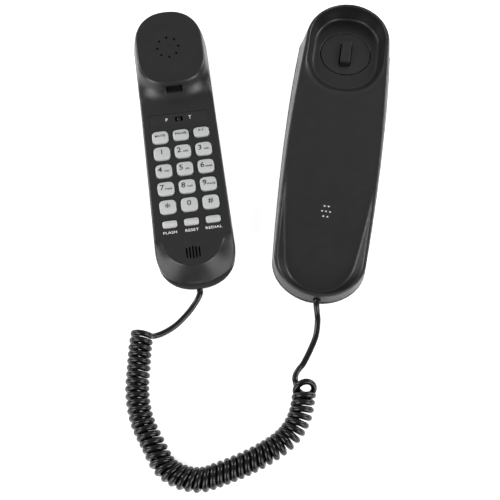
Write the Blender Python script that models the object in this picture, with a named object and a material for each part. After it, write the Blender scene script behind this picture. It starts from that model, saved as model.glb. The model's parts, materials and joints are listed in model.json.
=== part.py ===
"""Slim corded wall telephone: hook-on cradle, push-button handset and a coiled cord.

Metres, +Z up. Both halves lie on their backs on the plane z = 0, cradle right, handset left.
"""
import math

import bmesh
import bpy
from mathutils import Matrix, Vector

MM = 0.001

# Placement on the table: origin of each half, and its lean about +Z
CRADLE_ORIGIN = Vector((63.028, 80.928, 0.0)) * MM
CRADLE_LEAN = math.radians(-8.6)
HANDSET_ORIGIN = Vector((-57.962, -29.742, 0.0)) * MM
HANDSET_LEAN = math.radians(8.2)

WALL = 2.2 * MM
GAP = 0.3 * MM

# Cradle, in its own frame: origin under the hook disc, +Y towards the ear pocket
CRADLE_TOP = 39.0 * MM
CRADLE_BOTTOM = -201.5 * MM
PLATE_THICK = 2.2 * MM
SEAM = PLATE_THICK + GAP
RIM_BASE = 31.7 * MM
RIM_SLOPE = 0.0943
RIM_EDGE = 0.8 * MM
POCKET_FLOOR = 20.0 * MM
POCKET_LIP = 28.5 * MM
POCKET_HALF = 28.2 * MM
POCKET_LOW = -39.5 * MM
POCKET_HIGH = 31.6 * MM
SCOOP_START = -98.0 * MM
SCOOP_FULL = -180.0 * MM
SCOOP_DEPTH = 8.3 * MM
SCOOP_RIM = 2.2 * MM
DISC_RADIUS = 19.3 * MM
TAB_SIZE = (7.6 * MM, 19.6 * MM)
TAB_TOP = 23.6 * MM
STEM_SIDE = 3.4 * MM
STEM_BOTTOM = 12.2 * MM
PLUNGER_FLANGE = (13.6 * MM, 15.4 * MM)
PLUNGER_TRAVEL = 3.0 * MM
SWITCH_TOP = STEM_BOTTOM - PLUNGER_TRAVEL - GAP
BOARD_THICK = 1.4 * MM
BASE_BOARD_TOP = 4.6 * MM
RINGER_Y = -136.7 * MM
RINGER_TILT = math.radians(10.0)
RINGER_HOLE = 0.6 * MM
RINGER_HOLE_ROWS = ((3.7, (-1.45, 1.45)), (0.0, (-2.9, 0.0, 2.9)), (-3.7, (-1.45, 1.45)))
SOUNDER_RADIUS = 13.0 * MM
KEYHOLE_RADIUS = 4.2 * MM
KEYHOLE_SLOT = (4.4 * MM, 11.0 * MM)
KEYHOLES_Y = (-38.0 * MM, -118.0 * MM)
CRADLE_SCREWS_Y = (-52.0 * MM, -166.0 * MM)
CRADLE_CORD = Vector((1.5, -198.0, 6.4)) * MM
CRADLE_CORD_BORE = 3.3 * MM
JACK_Y = -86.0 * MM
JACK_SIZE = Vector((15.0, 13.0, 11.0)) * MM
JACK_SOCKET = Vector((11.7, 8.2, 8.5)) * MM

# Handset, in its own frame: origin under the keypad centre, +Y towards the ear end
FACE = 22.0 * MM
# Shell rings: half-width, cord end, ear end and height, in millimetres
FRONT_SHELL = ((27.9, -80.2, 135.6, 8.3), (28.2, -77.4, 136.0, 11.5), (28.0, -72.5, 135.8, 17.5),
               (27.6, -69.6, 135.4, 21.2), (26.9, -68.8, 134.8, 22.0))
FRONT_HOLLOW = ((27.9, -80.2, 135.6, 6.0), (28.2, -77.4, 136.0, 11.0), (28.0, -72.5, 135.8, 15.5),
                (27.6, -69.6, 135.4, 20.0))
BACK_SHELL = ((13.0, -62.0, 116.0, 0.0), (19.5, -70.5, 124.0, 0.9), (24.0, -76.5, 130.0, 2.8),
              (26.8, -80.0, 134.0, 5.6), (27.8, -81.0, 135.5, 8.0))
BACK_HOLLOW = ((19.0, -68.0, 122.0, 2.2), (24.6, -76.5, 130.5, 4.4), (25.8, -78.4, 133.0, 6.0),
               (26.0, -78.8, 133.5, 9.0))
EAR_SHELL = ((27.5, 67.0, 135.4, 24.5), (26.8, 71.5, 134.6, 29.0), (26.0, 74.5, 133.4, 33.0))
EAR_FOOT = (27.9, 64.0, 135.8)
EAR_END = 27.0 * MM
CAP_LOW = 76.0 * MM
CAP_HIGH = 131.5 * MM
CAP_HALF = 25.0 * MM
CAP_BASE = 36.0 * MM
CAP_TILT = math.radians(8.5)
HANDSET_WALL = 2.0 * MM
KEY_PITCH_X = 15.3 * MM
KEY_PITCH_Y = 14.5 * MM
KEY_TOP = 24.0 * MM
KEY_TRAVEL = 1.2 * MM
KEY_FLANGE_TOP = 19.6 * MM
KEY_FLANGE_BOTTOM = 18.2 * MM
KEY_FLANGE = 1.4 * MM
DIAL_KEY = (12.2 * MM, 11.2 * MM)
FUNCTION_KEY = (12.0 * MM, 9.8 * MM)
SMALL_KEY = (11.0 * MM, 5.8 * MM)
KEY_CORNER = 0.3
FUNCTION_ROW = 34.8 * MM
SMALL_ROW = -35.8 * MM
DIAL_SHIFT = -0.6 * MM
MAT_SIZE = Vector((46.0, 84.0, 1.0)) * MM
KEYPAD_BOARD_TOP = 15.4 * MM
KEYPAD_BOARD_SIZE = (48 * MM, 96 * MM)
LABEL_CENTRE = Vector((0.0, 49.7, 21.45)) * MM
LABEL_SIZE = Vector((44.0, 9.8, 0.5)) * MM
KNOB_SIZE = Vector((5.2, 4.0, 3.4)) * MM
KNOB_TRAVEL = 1.5 * MM
KNOB_BOTTOM = 19.4 * MM
MIC_Y = -58.7 * MM
MIC_SLOT_WIDTH = 1.0 * MM
MIC_SLOT_PITCH = 2.1 * MM
MIC_RADIUS = 4.2 * MM
HOOK_SLOT = Vector((12.6, 9.0, 5.6)) * MM
HOOK_SLOT_CENTRE = Vector((0.0, 71.5, 30.5)) * MM
EAR_CENTRE_Y = 101.5 * MM
EAR_HOLE_CIRCLE = 7.5 * MM
EAR_HOLE_RADIUS = 1.1 * MM
HANDSET_SCREWS_Y = (62.5 * MM, -69.0 * MM)
HANDSET_CORD = Vector((-0.5, -78.0, 4.7)) * MM
HANDSET_CORD_BORE = 3.0 * MM

# Screws and the bosses that take them
SCREW_BORE = 1.4 * MM
SCREW_CLEARANCE = 1.6 * MM
SCREW_SHANK = 1.1 * MM
CRADLE_SCREW_HEAD = 2.7 * MM
HANDSET_SCREW_HEAD = 2.6 * MM
HEAD_CLEARANCE = 0.5 * MM

# Cord
CORD_RADIUS = 1.9 * MM
COIL_RADIUS = 7.5 * MM

SATIN_BLACK = (0.021, 0.021, 0.023)
DEEP_BLACK = (0.010, 0.010, 0.011)
KEY_GREY = (0.56, 0.57, 0.58)
BOARD_GREEN = (0.03, 0.16, 0.07)
SWITCH_BLACK = (0.06, 0.06, 0.07)
STEEL = (0.55, 0.55, 0.56)


def clear_scene():
    for item in list(bpy.data.objects):
        bpy.data.objects.remove(item, do_unlink=True)


def make_material(name, colour, roughness, metallic=0.0):
    material = bpy.data.materials.new(name)
    material.use_nodes = True
    shader = material.node_tree.nodes["Principled BSDF"]
    shader.inputs["Base Color"].default_value = (*colour, 1.0)
    shader.inputs["Roughness"].default_value = roughness
    shader.inputs["Metallic"].default_value = metallic
    return material


def finish(name, builder, colour, roughness, metallic=0.0, parent=None):
    """Turn a bmesh into a named, smooth-shaded object with its own material."""
    bmesh.ops.recalc_face_normals(builder, faces=builder.faces)
    mesh = bpy.data.meshes.new(name)
    builder.to_mesh(mesh)
    builder.free()
    item = bpy.data.objects.new(name, mesh)
    bpy.context.scene.collection.objects.link(item)
    mesh.materials.append(make_material(name, colour, roughness, metallic))
    mesh.shade_smooth()
    mesh.set_sharp_from_angle(angle=math.radians(35))
    item.parent = parent
    return item


def loft(rings):
    """Closed body through rings of equal point count, with flat end caps."""
    builder = bmesh.new()
    loops = [[builder.verts.new(point) for point in ring] for ring in rings]
    count = len(loops[0])
    for lower, upper in zip(loops, loops[1:]):
        for index in range(count):
            after = (index + 1) % count
            builder.faces.new((lower[index], lower[after], upper[after], upper[index]))
    builder.faces.new(list(reversed(loops[0])))
    builder.faces.new(loops[-1])
    return builder


def box(size, centre):
    builder = bmesh.new()
    place = Matrix.Translation(centre) @ Matrix.Diagonal((*size, 1.0))
    bmesh.ops.create_cube(builder, size=1.0, matrix=place)
    return builder


def turned(profile, place=Matrix.Identity(4), sides=32):
    """Solid of revolution about local Z through (radius, height) pairs, lowest first."""
    circle = [2 * math.pi * step / sides for step in range(sides)]
    rings = []
    for radius, height in profile:
        flat = [Vector((radius * math.cos(a), radius * math.sin(a), height)) for a in circle]
        rings.append([place @ point for point in flat])
    return loft(rings)


def upright(y, x=0.0):
    """Frame with its Z axis upright over a point of a half's own plan."""
    return Matrix.Translation((x, y, 0))


def rounded_rectangle(width, length, height, corner, steps=3):
    """Counter-clockwise rounded rectangle at one height."""
    points = []
    for quarter, (side_x, side_y) in enumerate(((1, 1), (-1, 1), (-1, -1), (1, -1))):
        centre = Vector((side_x * (width / 2 - corner), side_y * (length / 2 - corner), height))
        for step in range(steps + 1):
            angle = math.pi / 2 * (quarter + step / steps)
            points.append(centre + corner * Vector((math.cos(angle), math.sin(angle), 0)))
    return points


def cutter(builder, parent=None):
    """Hidden tool body for a Boolean."""
    item = finish("cutter", builder, DEEP_BLACK, 0.5, parent=parent)
    item.hide_render = True
    item.display_type = "WIRE"
    return item


def combine(item, tool_builder, operation="DIFFERENCE"):
    """Apply one exact Boolean and remove its tool."""
    tool = cutter(tool_builder, item.parent)
    modifier = item.modifiers.new("shape", "BOOLEAN")
    modifier.operation = operation
    modifier.solver = "EXACT"
    modifier.object = tool
    bpy.context.view_layer.update()
    graph = bpy.context.evaluated_depsgraph_get()
    shaped = bpy.data.meshes.new_from_object(item.evaluated_get(graph))
    item.modifiers.remove(modifier)
    keep = item.data.materials[0]
    item.data = shaped
    item.data.materials.clear()
    item.data.materials.append(keep)
    bpy.data.objects.remove(tool, do_unlink=True)
    return item


def merge(builder, other):
    """Add the geometry of one bmesh to another and free it."""
    mesh = bpy.data.meshes.new("joined")
    other.to_mesh(mesh)
    other.free()
    builder.from_mesh(mesh)
    bpy.data.meshes.remove(mesh)
    return builder


# ---------------------------------------------------------------- outlines

def end_point(half, length, centre_y, power, angle):
    """Point on a superellipse end: angle 0 at +X, 90 degrees at the tip."""
    cosine = math.cos(angle)
    sine = math.sin(angle)
    x = half * math.copysign(abs(cosine) ** (2 / power), cosine)
    y = centre_y + length * math.copysign(abs(sine) ** (2 / power), sine)
    return x, y


def outline(width_at, top, bottom, power=2.0, arc=10, side=7):
    """Counter-clockwise plan: round top end, bowed sides, round bottom end.

    top and bottom are (centre_y, length) of the two end arcs.
    """
    points = []
    for step in range(arc + 1):
        points.append(end_point(width_at(top[0]), top[1], top[0], power, math.pi * step / arc))
    for step in range(1, side):
        y = top[0] + (bottom[0] - top[0]) * step / side
        points.append((-width_at(y), y))
    for step in range(arc + 1):
        angle = math.pi + math.pi * step / arc
        points.append(end_point(width_at(bottom[0]), bottom[1], bottom[0], power, angle))
    for step in range(1, side):
        y = bottom[0] + (top[0] - bottom[0]) * step / side
        points.append((width_at(y), y))
    return points


def bowed_width(y, widest_y, widest, high, low, power):
    """Half-width that falls off from its widest station; high and low are (y, drop)."""
    far_y, drop = high if y > widest_y else low
    return widest - drop * (abs(y - widest_y) / abs(far_y - widest_y)) ** power


# ---------------------------------------------------------------- cradle shells

def rim_height(y):
    return RIM_BASE + RIM_SLOPE * y


def back_width(y, inset=0.0):
    return bowed_width(y, -40 * MM, 38.2 * MM, (12 * MM, 1.2 * MM), (-172 * MM, 4.7 * MM), 2.0) - inset


def rim_width(y, inset=0.0):
    return bowed_width(y, -85 * MM, 34.7 * MM, (4 * MM, 2.9 * MM), (-172 * MM, 2.4 * MM), 1.5) - inset


def back_outline(inset=0.0):
    top = (12 * MM, CRADLE_TOP - 12 * MM - inset)
    bottom = (-172 * MM, -172 * MM - CRADLE_BOTTOM - inset)
    return outline(lambda y: back_width(y, inset), top, bottom)


def rim_outline(inset=0.0):
    top = (4 * MM, 31 * MM - inset)
    bottom = (-172 * MM, 27.8 * MM - inset)
    return outline(lambda y: rim_width(y, inset), top, bottom)


def cradle_ring(fraction, inset=0.0, lower=0.0, start=SEAM):
    """Wall ring part-way from the seam to the rim; lower drops it below the rim plane."""
    ring = []
    for (back_x, back_y), (rim_x, rim_y) in zip(back_outline(inset), rim_outline(inset)):
        rim_z = rim_height(rim_y) - lower
        height = start + fraction * (rim_z - start)
        share = height / rim_z
        x = back_x + share * (rim_x - back_x)
        y = back_y + share * (rim_y - back_y)
        ring.append(Vector((x, y, height)))
    return ring


def scoop_floor(y):
    share = min(1.0, max(0.0, (SCOOP_START - y) / (SCOOP_START - SCOOP_FULL)))
    return rim_height(y) + GAP - SCOOP_DEPTH * share ** 1.6


def scoop_half_width(y, inset):
    """Half-width of the scoop, rounded off at the cord end."""
    straight_end = -170 * MM
    half = rim_width(max(y, straight_end), SCOOP_RIM + inset)
    if y < straight_end:
        reach = (straight_end - y) / (27.6 * MM - inset)
        half *= max(0.02, 1 - reach ** 2.2) ** (1 / 2.2)
    return half


def scoop_body(inset, drop, top, first_y):
    """Solid from the scoop floor, lowered by drop, up to a level."""
    last_y = -197.2 * MM + inset
    stations = [first_y + (last_y - first_y) * step / 16 for step in range(17)]
    columns = ((-1.0, 0.6), (-0.94, 0.22), (-0.8, 0.03), (-0.4, 0.0), (0.0, 0.0),
               (0.4, 0.0), (0.8, 0.03), (0.94, 0.22), (1.0, 0.6))
    rings = []
    for y in stations:
        half = scoop_half_width(y, inset)
        floor = scoop_floor(y)
        depth = max(0.0, rim_height(y) - floor)
        toe = max(0.0, (SCOOP_FULL - y) / (SCOOP_FULL - last_y)) ** 2 * 0.5
        ring = []
        for column, rise in columns:
            height = floor + depth * min(0.8, rise + toe) - drop
            ring.append(Vector((column * half, y, height)))
        ring.append(Vector((half, y, top)))
        ring.append(Vector((-half, y, top)))
        rings.append(ring)
    return loft(rings)


def pocket_body(grow, floor, top):
    """Ear pocket: a drafted tub, rounded at both ends."""
    rings = []
    levels = ((floor, 4.4, 8.6, 0.4), (floor + 1.2 * MM, 3.2, 6.2, 0.0), (POCKET_LIP, 0.0, 0.0, 0.0),
              (top, -0.3, -0.5, -0.3))
    for height, side_in, low_in, high_in in levels:
        half = POCKET_HALF - side_in * MM + grow
        low = POCKET_LOW + low_in * MM - grow
        high = POCKET_HIGH - high_in * MM + grow
        ends = ((high - half, half), (low + half, half))
        plan = outline(lambda y: half, *ends, power=2.15, arc=12, side=3)
        rings.append([Vector((x, y, height)) for x, y in plan])
    return loft(rings)


def hollow_body():
    """Inside of the cradle, open at the back; it ends under the saddle."""
    rings = []
    for fraction in (-0.25, 0.0, 0.5, 1.0):
        rings.append(cradle_ring(fraction, inset=WALL, lower=WALL + 0.3 * MM))
    return loft(rings)


def base_top_cover(parent):
    rings = [cradle_ring(fraction, lower=RIM_EDGE) for fraction in (0.0, 0.35, 0.7, 1.0)]
    rings.append(cradle_ring(1.0, inset=RIM_EDGE))
    cover = finish("base_top_cover", loft(rings), SATIN_BLACK, 0.38, parent=parent)
    hollow = cutter(hollow_body(), parent)
    combine(hollow, scoop_body(-3.0 * MM, WALL, 60 * MM, SCOOP_START + 8 * MM))
    tool = bmesh.new()
    tool.from_mesh(hollow.data)
    bpy.data.objects.remove(hollow, do_unlink=True)
    combine(cover, tool)
    combine(cover, pocket_body(WALL, POCKET_FLOOR - WALL, 28.7 * MM), "UNION")
    for y in CRADLE_SCREWS_Y:
        ceiling = min(scoop_floor(y), rim_height(y)) - 1.2 * MM
        post = turned(((3.2 * MM, 4.0 * MM), (3.4 * MM, ceiling)), upright(y), 16)
        combine(cover, post, "UNION")
    combine(cover, pocket_body(0.0, POCKET_FLOOR, 44 * MM))
    combine(cover, scoop_body(0.0, 0.0, 60 * MM, SCOOP_START))
    hole = turned(((DISC_RADIUS + GAP, 10 * MM), (DISC_RADIUS + GAP, 25 * MM)), sides=40)
    combine(cover, hole)
    for y in CRADLE_SCREWS_Y:
        bore = turned(((SCREW_BORE, 3.0 * MM), (SCREW_BORE, 9.0 * MM)), upright(y), 12)
        combine(cover, bore)
    combine(cover, ringer_holes())
    combine(cover, cord_bore(CRADLE_CORD, CRADLE_CORD_BORE))
    return cover


def ringer_place(depth):
    """Frame on the scoop floor over the sounder, moved inwards by depth."""
    spot = Vector((0, RINGER_Y, scoop_floor(RINGER_Y)))
    tilt = Matrix.Rotation(RINGER_TILT, 4, "X")
    return Matrix.Translation(spot) @ tilt @ Matrix.Translation((0, 0, -depth))


def ringer_holes():
    """Seven sound holes in rows of two, three and two."""
    holes = bmesh.new()
    for row, offsets in RINGER_HOLE_ROWS:
        for offset in offsets:
            place = ringer_place(0) @ upright(row * MM, offset * MM)
            merge(holes, turned(((RINGER_HOLE, -4 * MM), (RINGER_HOLE, 3 * MM)), place, 8))
    return holes


def cord_axis(point):
    """Local Z of this frame points out of the cord end, along -Y."""
    return Matrix.Translation(point) @ Matrix.Rotation(math.radians(90), 4, "X")


def cord_bore(point, radius):
    """Hole through a shell's end wall for the cord relief."""
    return turned(((radius, -14 * MM), (radius, 14 * MM)), cord_axis(point), 20)


def base_back_plate(parent):
    rings = [[Vector((x, y, 0.0)) for x, y in back_outline(0.5 * MM)]]
    rings.append([Vector((x, y, 0.6 * MM)) for x, y in back_outline()])
    rings.append([Vector((x, y, PLATE_THICK)) for x, y in back_outline(0.1 * MM)])
    plate = finish("base_back_plate", loft(rings), SATIN_BLACK, 0.45, parent=parent)
    for y in KEYHOLES_Y:
        head = ((KEYHOLE_RADIUS, -1 * MM), (KEYHOLE_RADIUS, 5 * MM))
        combine(plate, turned(head, upright(y), 24))
        combine(plate, box((*KEYHOLE_SLOT, 6 * MM), (0, y + KEYHOLE_SLOT[1] / 2, 2 * MM)))
    for y in CRADLE_SCREWS_Y:
        radius = CRADLE_SCREW_HEAD + 2 * GAP
        profile = ((radius, -0.5 * MM), (radius, 1.1 * MM),
                   (SCREW_CLEARANCE, 1.1 * MM), (SCREW_CLEARANCE, 4 * MM))
        combine(plate, turned(profile, upright(y), 20))
    size = (JACK_SIZE.x + 2 * GAP, JACK_SIZE.y + 2 * GAP, 8 * MM)
    combine(plate, box(size, (0, JACK_Y, 2 * MM)))
    return plate


# ---------------------------------------------------------------- cradle contents

def hook_disc(parent):
    profile = ((21.2 * MM, 15.8 * MM), (21.2 * MM, 17.4 * MM), (DISC_RADIUS, 17.4 * MM),
               (DISC_RADIUS, POCKET_FLOOR + 0.1 * MM), (DISC_RADIUS - 0.6 * MM, POCKET_FLOOR + 0.7 * MM),
               (DISC_RADIUS - 1.6 * MM, POCKET_FLOOR + 0.7 * MM), (DISC_RADIUS - 2.2 * MM, POCKET_FLOOR))
    disc = finish("hook_disc", turned(profile, sides=40), SATIN_BLACK, 0.4, parent=parent)
    slot = loft([rounded_rectangle(TAB_SIZE[0] + 2 * GAP, TAB_SIZE[1] + 2 * GAP, z, 1.2 * MM)
                 for z in (10 * MM, 30 * MM)])
    return combine(disc, slot)


def hook_plunger(parent):
    """Tab that the ear cap presses, with a retaining flange and a stem."""
    width, length = TAB_SIZE
    low, high = PLUNGER_FLANGE
    flange = (width + 2 * MM, length + 2 * MM)
    levels = ((STEM_SIDE, STEM_SIDE, STEM_BOTTOM, 1.6), (STEM_SIDE, STEM_SIDE, low, 1.6),
              (*flange, low, 1.5), (*flange, high, 1.5),
              (width, length, high, 1.0), (width, length, TAB_TOP - 0.7 * MM, 1.0),
              (width - 1.2 * MM, length - 1.2 * MM, TAB_TOP, 0.8))
    rings = [rounded_rectangle(w, l, z, corner * MM) for w, l, z, corner in levels]
    return finish("hook_plunger", loft(rings), SATIN_BLACK, 0.36, parent=parent)


def hook_spring(parent):
    """Open coil round the plunger's stem, resting on the switch."""
    turns = 3.5
    radius = 3.2 * MM
    wire = 0.3 * MM
    low = SWITCH_TOP + 0.6 * MM
    high = PLUNGER_FLANGE[0] - 0.6 * MM
    steps = 35
    centres = []
    for step in range(steps + 1):
        angle = 2 * math.pi * turns * step / steps
        height = low + (high - low) * step / steps
        centres.append(Vector((radius * math.cos(angle), radius * math.sin(angle), height)))
    rings = []
    for step, centre in enumerate(centres):
        ahead = centres[min(step + 1, steps)] - centres[max(step - 1, 0)]
        along = ahead.normalized()
        outward = Vector((centre.x, centre.y, 0)).normalized()
        upward = along.cross(outward)
        ring = []
        for side in range(6):
            angle = math.pi / 3 * side
            ring.append(centre + wire * (math.cos(angle) * outward + math.sin(angle) * upward))
        rings.append(ring)
    return finish("hook_spring", loft(rings), (0.6, 0.6, 0.62), 0.3, 1.0, parent)


def cradle_contents(parent):
    """Electronics, screws and the cord relief inside the cradle."""
    board = box((44 * MM, 48 * MM, BOARD_THICK), (0, 0, BASE_BOARD_TOP - BOARD_THICK / 2))
    finish("base_circuit_board", board, BOARD_GREEN, 0.5, parent=parent)
    foot = BASE_BOARD_TOP + 0.4 * MM
    switch = box((12 * MM, 22 * MM, SWITCH_TOP - foot), (0, 0, (SWITCH_TOP + foot) / 2))
    finish("hook_switch_body", switch, SWITCH_BLACK, 0.5, parent=parent)
    sounder = ((11 * MM, -6.6 * MM), (SOUNDER_RADIUS, -6.2 * MM),
               (SOUNDER_RADIUS, -4.1 * MM), (11 * MM, -3.9 * MM))
    finish("ringer_sounder", turned(sounder, ringer_place(0)), (0.5, 0.42, 0.2), 0.35, 0.8, parent)
    felt = ((8 * MM, -3.6 * MM), (8 * MM, -2.8 * MM))
    finish("ringer_felt", turned(felt, ringer_place(0), 24), (0.85, 0.85, 0.83), 0.95, parent=parent)
    line_jack(parent)
    for label, y in zip(("upper", "lower"), CRADLE_SCREWS_Y):
        case_screw("base_screw_" + label, y, (0.2 * MM, 1.0 * MM, 8.4 * MM), CRADLE_SCREW_HEAD, parent)
    cord_relief("base_cord_relief", CRADLE_CORD, CRADLE_CORD_BORE - 0.4 * MM, parent)


def line_jack(parent):
    """Modular socket that opens through the back plate."""
    centre = Vector((0, JACK_Y, JACK_SIZE.z / 2 + 0.2 * MM))
    jack = finish("wall_line_jack", box(JACK_SIZE, centre), SWITCH_BLACK, 0.5, parent=parent)
    socket = box(JACK_SOCKET, (0, JACK_Y, JACK_SOCKET.z / 2 - 0.6 * MM))
    return combine(jack, socket)


def case_screw(name, y, heights, head, parent):
    """Pan screw pointing up into its post; heights are its bottom, head top and tip."""
    low, shoulder, tip = heights
    profile = ((head, low), (head, shoulder), (SCREW_SHANK, shoulder), (SCREW_SHANK, tip))
    return finish(name, turned(profile, upright(y), 16), STEEL, 0.3, 1.0, parent)


def cord_relief(name, point, radius, parent):
    """Rubber sleeve through the end wall, with a collar outside."""
    profile = ((radius, -5.0 * MM), (radius, 3.4 * MM), (radius - 0.4 * MM, 4.5 * MM))
    return finish(name, turned(profile, cord_axis(point), 20), DEEP_BLACK, 0.6, parent=parent)


# ---------------------------------------------------------------- handset shells

def handset_outline(half, low, high, power=2.2, low_length=26.5 * MM, high_length=28.0 * MM):
    top = (high - high_length, high_length)
    bottom = (low + low_length, low_length)
    return outline(lambda y: half, top, bottom, power, arc=10, side=6)


def cap_height(y):
    return CAP_BASE + (y - CAP_LOW) * math.tan(CAP_TILT)


def handset_rings(levels, inset=0.0):
    """Rings from (half-width, low end, high end, height) in millimetres."""
    rings = []
    for half, low, high, height in levels:
        plan = handset_outline(half * MM - inset, low * MM + inset, high * MM - inset)
        rings.append([Vector((x, y, height * MM)) for x, y in plan])
    return rings


def ear_block(inset, top_drop, floor):
    """Raised ear end from a floor level up to the tilted cap face."""
    rings = []
    end = EAR_END - inset
    for half, low, high, height in ((*EAR_FOOT, floor / MM), *EAR_SHELL):
        plan = handset_outline(half * MM - inset, low * MM + inset, high * MM - inset, 2.3, end, end)
        ring = []
        for x, y in plan:
            ceiling = cap_height(y) - top_drop - 1.5 * MM
            ring.append(Vector((x, y, min(height * MM, ceiling))))
        rings.append(ring)
    for edge, under in ((0.0, 1.0 * MM), (1.0 * MM, 0.0)):
        inwards = inset + edge
        end = EAR_END - inwards
        plan = handset_outline(CAP_HALF - inwards, CAP_LOW + inwards, CAP_HIGH - inwards, 2.4, end, end)
        rings.append([Vector((x, y, cap_height(y) - top_drop - under)) for x, y in plan])
    return loft(rings)


def handset_front_cover(parent):
    shell = loft(handset_rings(FRONT_SHELL))
    cover = finish("handset_front_cover", shell, SATIN_BLACK, 0.38, parent=parent)
    combine(cover, ear_block(0.0, 0.0, 18 * MM), "UNION")
    combine(cover, loft(handset_rings(FRONT_HOLLOW, HANDSET_WALL)))
    combine(cover, ear_block(HANDSET_WALL + 0.4 * MM, HANDSET_WALL + 0.2 * MM, 17 * MM))
    for y, top in zip(HANDSET_SCREWS_Y, (20.6 * MM, 18.2 * MM)):
        post = turned(((2.9 * MM, 8.9 * MM), (3.0 * MM, top)), upright(y), 16)
        combine(cover, post, "UNION")
        combine(cover, turned(((SCREW_BORE, 7 * MM), (SCREW_BORE, 13.5 * MM)), upright(y), 12))
    for tool in handset_openings():
        combine(cover, tool)
    return cover


def handset_openings():
    """Key holes, label recess, switch slot, ear holes, microphone slots and hook slot."""
    tools = []
    for _, x, y, size in key_layout():
        corner = KEY_CORNER * min(size) + GAP
        rings = []
        for height in (15 * MM, 30 * MM):
            ring = rounded_rectangle(size[0] + 2 * GAP, size[1] + 2 * GAP, height, corner, 2)
            rings.append([point + Vector((x, y, 0)) for point in ring])
        tools.append(loft(rings))
    recess = Vector((LABEL_SIZE.x + 2 * GAP, LABEL_SIZE.y + 2 * GAP, 4 * MM))
    tools.append(box(recess, LABEL_CENTRE + Vector((0, 0, 1.5 * MM))))
    tools.append(knob_slot())
    for index in range(8):
        angle = math.pi / 4 * (index + 0.5)
        x = EAR_HOLE_CIRCLE * math.cos(angle)
        y = EAR_CENTRE_Y + EAR_HOLE_CIRCLE * math.sin(angle)
        profile = ((EAR_HOLE_RADIUS, 30 * MM), (EAR_HOLE_RADIUS, 50 * MM))
        tools.append(turned(profile, upright(y, x), 8))
    for index in range(-2, 3):
        length = (9.0 - 1.2 * abs(index)) * MM
        size = (MIC_SLOT_WIDTH, length, 8 * MM)
        tools.append(box(size, (index * MIC_SLOT_PITCH, MIC_Y, FACE)))
    tools.append(box(HOOK_SLOT, HOOK_SLOT_CENTRE))
    return tools


def knob_slot():
    """Slot that the mode switch's knob slides in."""
    size = (KNOB_SIZE.x + 2 * KNOB_TRAVEL + 2 * GAP, KNOB_SIZE.y + 2 * GAP, 12 * MM)
    return box(size, (0, LABEL_CENTRE.y, FACE))


def handset_back_cover(parent):
    shell = loft(handset_rings(BACK_SHELL))
    cover = finish("handset_back_cover", shell, SATIN_BLACK, 0.42, parent=parent)
    combine(cover, loft(handset_rings(BACK_HOLLOW)))
    for y in HANDSET_SCREWS_Y:
        boss = turned(((4.2 * MM, 0.6 * MM), (4.2 * MM, 5.2 * MM)), upright(y), 16)
        combine(cover, boss, "UNION")
        radius = HANDSET_SCREW_HEAD + HEAD_CLEARANCE
        profile = ((radius, -1 * MM), (radius, 3.2 * MM),
                   (SCREW_CLEARANCE, 3.2 * MM), (SCREW_CLEARANCE, 9 * MM))
        combine(cover, turned(profile, upright(y), 16))
    combine(cover, cord_bore(HANDSET_CORD, HANDSET_CORD_BORE))
    return cover


# ---------------------------------------------------------------- handset contents

def key_layout():
    """Name, centre and size of every key."""
    keys = []
    for column, name in zip((-1, 0, 1), ("mute", "pause", "pt")):
        keys.append(("key_" + name, column * KEY_PITCH_X, FUNCTION_ROW, FUNCTION_KEY))
    dial = (("1", "2", "3"), ("4", "5", "6"), ("7", "8", "9"), ("star", "0", "hash"))
    for row, names in enumerate(dial):
        for column, name in zip((-1, 0, 1), names):
            y = (1.5 - row) * KEY_PITCH_Y
            keys.append(("key_" + name, column * KEY_PITCH_X, y + DIAL_SHIFT, DIAL_KEY))
    for column, name in zip((-1, 0, 1), ("flash", "reset", "redial")):
        keys.append(("key_" + name, column * KEY_PITCH_X, SMALL_ROW, SMALL_KEY))
    return keys


def key(name, x, y, size, parent):
    """Key cap with its retaining flange; its origin is at the flange's underside."""
    width, length = size
    corner = KEY_CORNER * min(size)
    flange = (width + KEY_FLANGE, length + KEY_FLANGE)
    shoulder = KEY_FLANGE_TOP - KEY_FLANGE_BOTTOM
    top = KEY_TOP - KEY_FLANGE_BOTTOM
    edge = 1.4 * MM
    levels = ((*flange, 0.0, corner), (*flange, shoulder, corner), (width, length, shoulder, corner),
              (width, length, top - edge / 2, corner), (width - edge, length - edge, top, corner * 0.8))
    rings = [rounded_rectangle(w, l, z, c, 2) for w, l, z, c in levels]
    item = finish(name, loft(rings), KEY_GREY, 0.45, parent=parent)
    item.location = (x, y, KEY_FLANGE_BOTTOM)
    return item


def mode_switch_knob(parent):
    rings = []
    for inset, height in ((0.0, 0.0), (0.0, KNOB_SIZE.z - 0.5 * MM), (0.8 * MM, KNOB_SIZE.z)):
        size = (KNOB_SIZE.x - inset, KNOB_SIZE.y - inset)
        rings.append(rounded_rectangle(*size, height, 0.5 * MM, 1))
    item = finish("mode_switch_knob", loft(rings), DEEP_BLACK, 0.4, parent=parent)
    item.location = (0, LABEL_CENTRE.y, KNOB_BOTTOM)
    return item


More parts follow.
